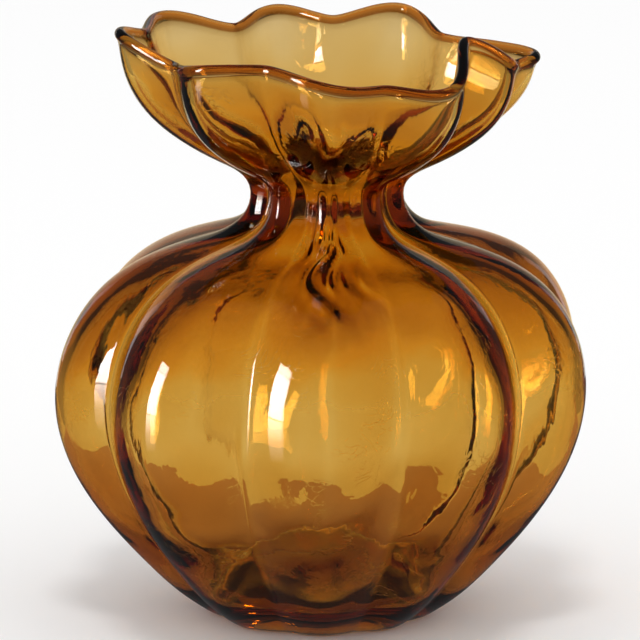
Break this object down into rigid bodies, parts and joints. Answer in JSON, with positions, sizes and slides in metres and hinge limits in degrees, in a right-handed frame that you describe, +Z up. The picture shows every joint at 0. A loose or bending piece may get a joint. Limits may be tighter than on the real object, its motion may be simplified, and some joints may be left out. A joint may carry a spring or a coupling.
{
  "type": "gourd vase",
  "caption": "Free-standing hand-blown vase in clear amber glass, with a lobed gourd belly, a narrow fluted neck and a flared ruffled collar with a rounded rim.",
  "frame": {"origin": "middle of the flat face that the vase rests on, under the middle of its belly", "axes": "+Z up out of the mouth; -Y towards the side that the picture shows; +X to the right seen from that side"},
  "size_m": [0.2056, 0.2073, 0.233],
  "materials": {
    "amber_glass": "fire-polished clear amber glass"
  },
  "bodies": {
    "root": {"base": "amber_glass", "lower_belly": "amber_glass", "upper_belly": "amber_glass", "shoulder": "amber_glass", "neck": "amber_glass", "throat": "amber_glass", "collar": "amber_glass", "rim_bead": "amber_glass"}
  },
  "joints": []
}
